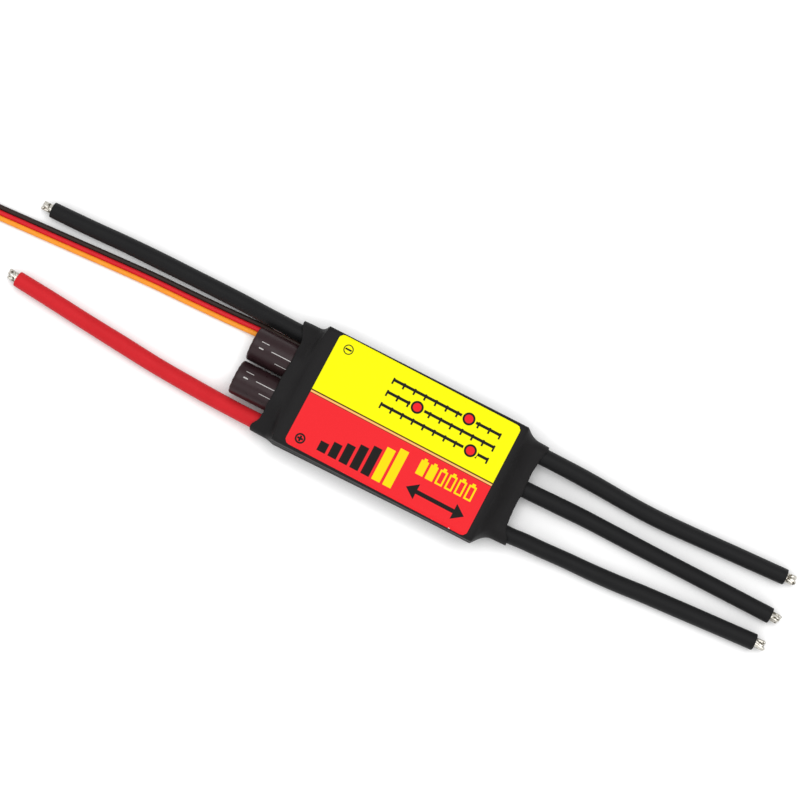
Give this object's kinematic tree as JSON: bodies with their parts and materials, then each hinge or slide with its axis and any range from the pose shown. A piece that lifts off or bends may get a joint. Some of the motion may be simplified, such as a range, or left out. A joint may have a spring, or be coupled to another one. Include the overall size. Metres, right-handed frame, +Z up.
{
  "type": "electronic speed controller",
  "caption": "Flat motor speed controller in black shrink film with a yellow and red label, thick battery and motor leads, capacitors at one end and a signal lead with plug.",
  "frame": {"origin": "middle of the flat underside of the wrapped block, on the table", "axes": "+X from the battery end to the motor end, +Y towards the negative battery lead, +Z up through the label"},
  "size_m": [0.3199, 0.0378, 0.0132],
  "materials": {
    "film": "satin black heat-shrink film",
    "label": "printed vinyl sticker, yellow and red",
    "board": "solder-masked glass-fibre board",
    "pad": "soft silicone",
    "aluminium": "plain drawn metal",
    "moulding": "moulding compound",
    "iron": "pressed iron powder",
    "header": "moulded",
    "jacket": "shrunk sleeve",
    "bung": "moulded",
    "tin": "tinned copper",
    "black": "silicone insulation",
    "red": "silicone insulation",
    "ground": "extruded wire insulation",
    "power": "extruded wire insulation",
    "pulse": "extruded wire insulation",
    "housing": "moulded",
    "tie": "moulded band"
  },
  "bodies": {
    "root": {"heat_shrink_film": "film", "label": "label", "cooling_plate": "aluminium", "thermal_pad": "pad", "power_board": "board", "control_board": "board", "link_header_battery": "header", "link_header_motor": "header", "mosfet_a_high_1": "moulding", "mosfet_a_high_2": "moulding", "mosfet_a_low_1": "moulding", "mosfet_a_low_2": "moulding", "gate_driver_a": "moulding", "mosfet_b_high_1": "moulding", "mosfet_b_high_2": "moulding", "mosfet_b_low_1": "moulding", "mosfet_b_low_2": "moulding", "gate_driver_b": "moulding", "mosfet_c_high_1": "moulding", "mosfet_c_high_2": "moulding", "mosfet_c_low_1": "moulding", "mosfet_c_low_2": "moulding", "gate_driver_c": "moulding", "microcontroller": "moulding", "regulator": "moulding", "inductor": "iron", "diode": "moulding", "capacitor_1_jacket": "jacket", "capacitor_1_can": "aluminium", "capacitor_1_bung": "bung", "capacitor_1_leg_plus": "tin", "capacitor_1_leg_minus": "tin", "capacitor_2_jacket": "jacket", "capacitor_2_can": "aluminium", "capacitor_2_bung": "bung", "capacitor_2_leg_plus": "tin", "capacitor_2_leg_minus": "tin", "lead_negative_insulation": "black", "lead_negative_core": "tin", "lead_positive_insulation": "red", "lead_positive_core": "tin", "lead_motor_a_insulation": "black", "lead_motor_a_core": "tin", "lead_motor_b_insulation": "black", "lead_motor_b_core": "tin", "lead_motor_c_insulation": "black", "lead_motor_c_core": "tin", "signal_ground_wire": "ground", "signal_ground_hank": "ground", "signal_power_wire": "power", "signal_power_hank": "power", "signal_pulse_wire": "pulse", "signal_pulse_hank": "pulse", "plug_housing": "housing", "plug_terminal_ground": "tin", "plug_terminal_power": "tin", "plug_terminal_pulse": "tin", "hank_tie": "tie"}
  },
  "joints": []
}
